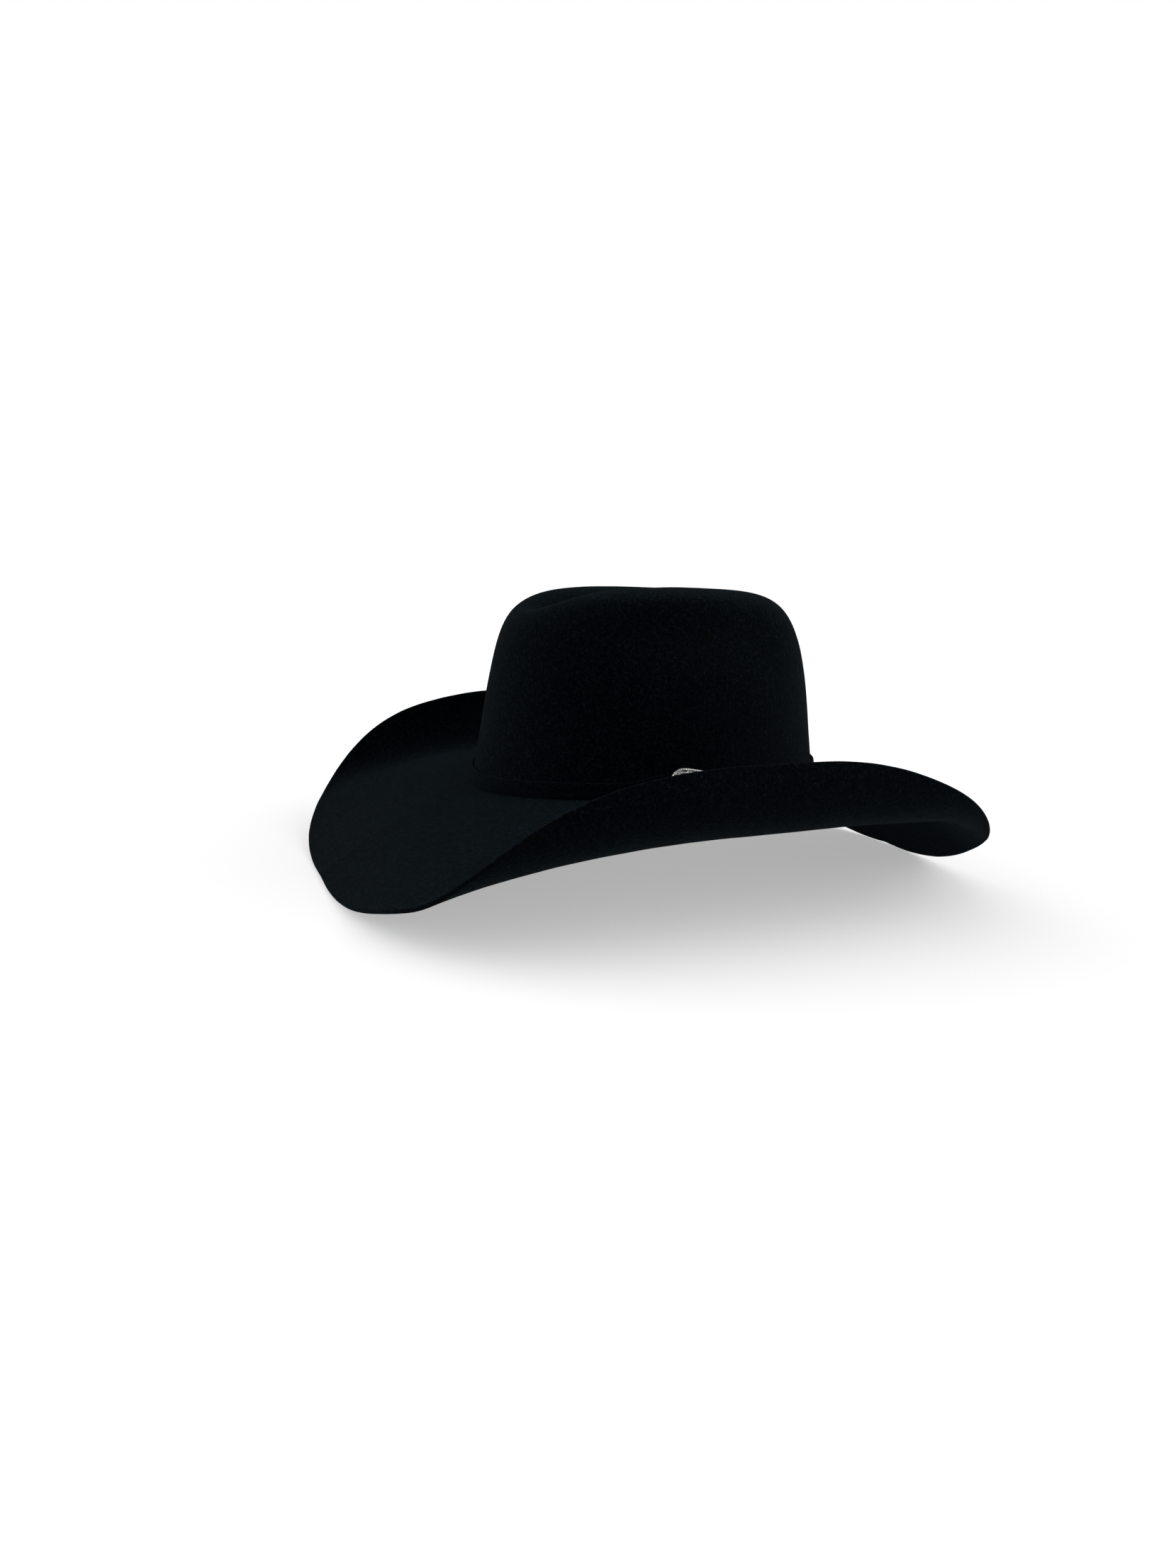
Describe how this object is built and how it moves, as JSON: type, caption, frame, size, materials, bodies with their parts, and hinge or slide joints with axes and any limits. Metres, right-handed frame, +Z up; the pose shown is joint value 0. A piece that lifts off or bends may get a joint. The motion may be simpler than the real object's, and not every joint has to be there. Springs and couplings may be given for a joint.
{
  "type": "cowboy hat",
  "caption": "Western felt hat with a creased crown, curled brim, narrow band with buckle, keeper and tip, leather sweatband and satin lining.",
  "frame": {"origin": "on the floor under the middle of the hat, which stands on the front and back dips of its brim", "axes": "+Z up, -Y towards the front of the hat, +X towards the wearer's left, where the buckle is"},
  "size_m": [0.3252, 0.3868, 0.1646],
  "materials": {
    "black_felt": "napped wool and fur felt",
    "band_felt": "smooth felt strip",
    "black_thread": "waxed thread",
    "silver": "antiqued silver plate",
    "steel": "brushed",
    "sweat_leather": "dark brown roan leather",
    "reed_plastic": "extruded rod",
    "ribbon": "grosgrain",
    "tan_thread": "lockstitch thread",
    "satin": "satin weave",
    "piping": "satin piping",
    "clear_vinyl": "clear flexible sheet",
    "label_cloth": "woven tape, blank"
  },
  "bodies": {
    "hat": {"felt_body": "black_felt", "hat_band": "band_felt", "band_tacks": "black_thread", "buckle_chape": "band_felt", "chape_stitches": "black_thread", "band_tip": "silver", "tip_rivets": "steel", "sweatband": "sweat_leather", "sweatband_reed": "reed_plastic", "reed_tape": "ribbon", "sweatband_stitches": "tan_thread", "sweatband_bow": "ribbon", "lining_side": "satin", "lining_tip": "satin", "lining_cord": "piping", "lining_shield": "clear_vinyl", "size_label": "label_cloth"},
    "buckle": {"buckle_frame": "silver", "buckle_bar": "steel"},
    "tongue": {"buckle_tongue": "silver"},
    "keeper": {"keeper_loop": "silver"}
  },
  "joints": [
    {"name": "buckle_swing", "type": "hinge", "parent": "hat", "child": "buckle", "pos_m": [0.08832, -0.01511, 0.0655], "axis": [-0.1297, -0.0253, 0.9912], "range_deg": [0, 30]},
    {"name": "tongue_swing", "type": "hinge", "parent": "buckle", "child": "tongue", "pos_m": [0.08832, -0.01511, 0.0655], "axis": [-0.1297, -0.0253, 0.9912], "range_deg": [0, 60]},
    {"name": "keeper_slide", "type": "slide", "parent": "hat", "child": "keeper", "axis": [-0.062, 0.9974, 0.037], "range_m": [-0.003, 0.003]}
  ]
}
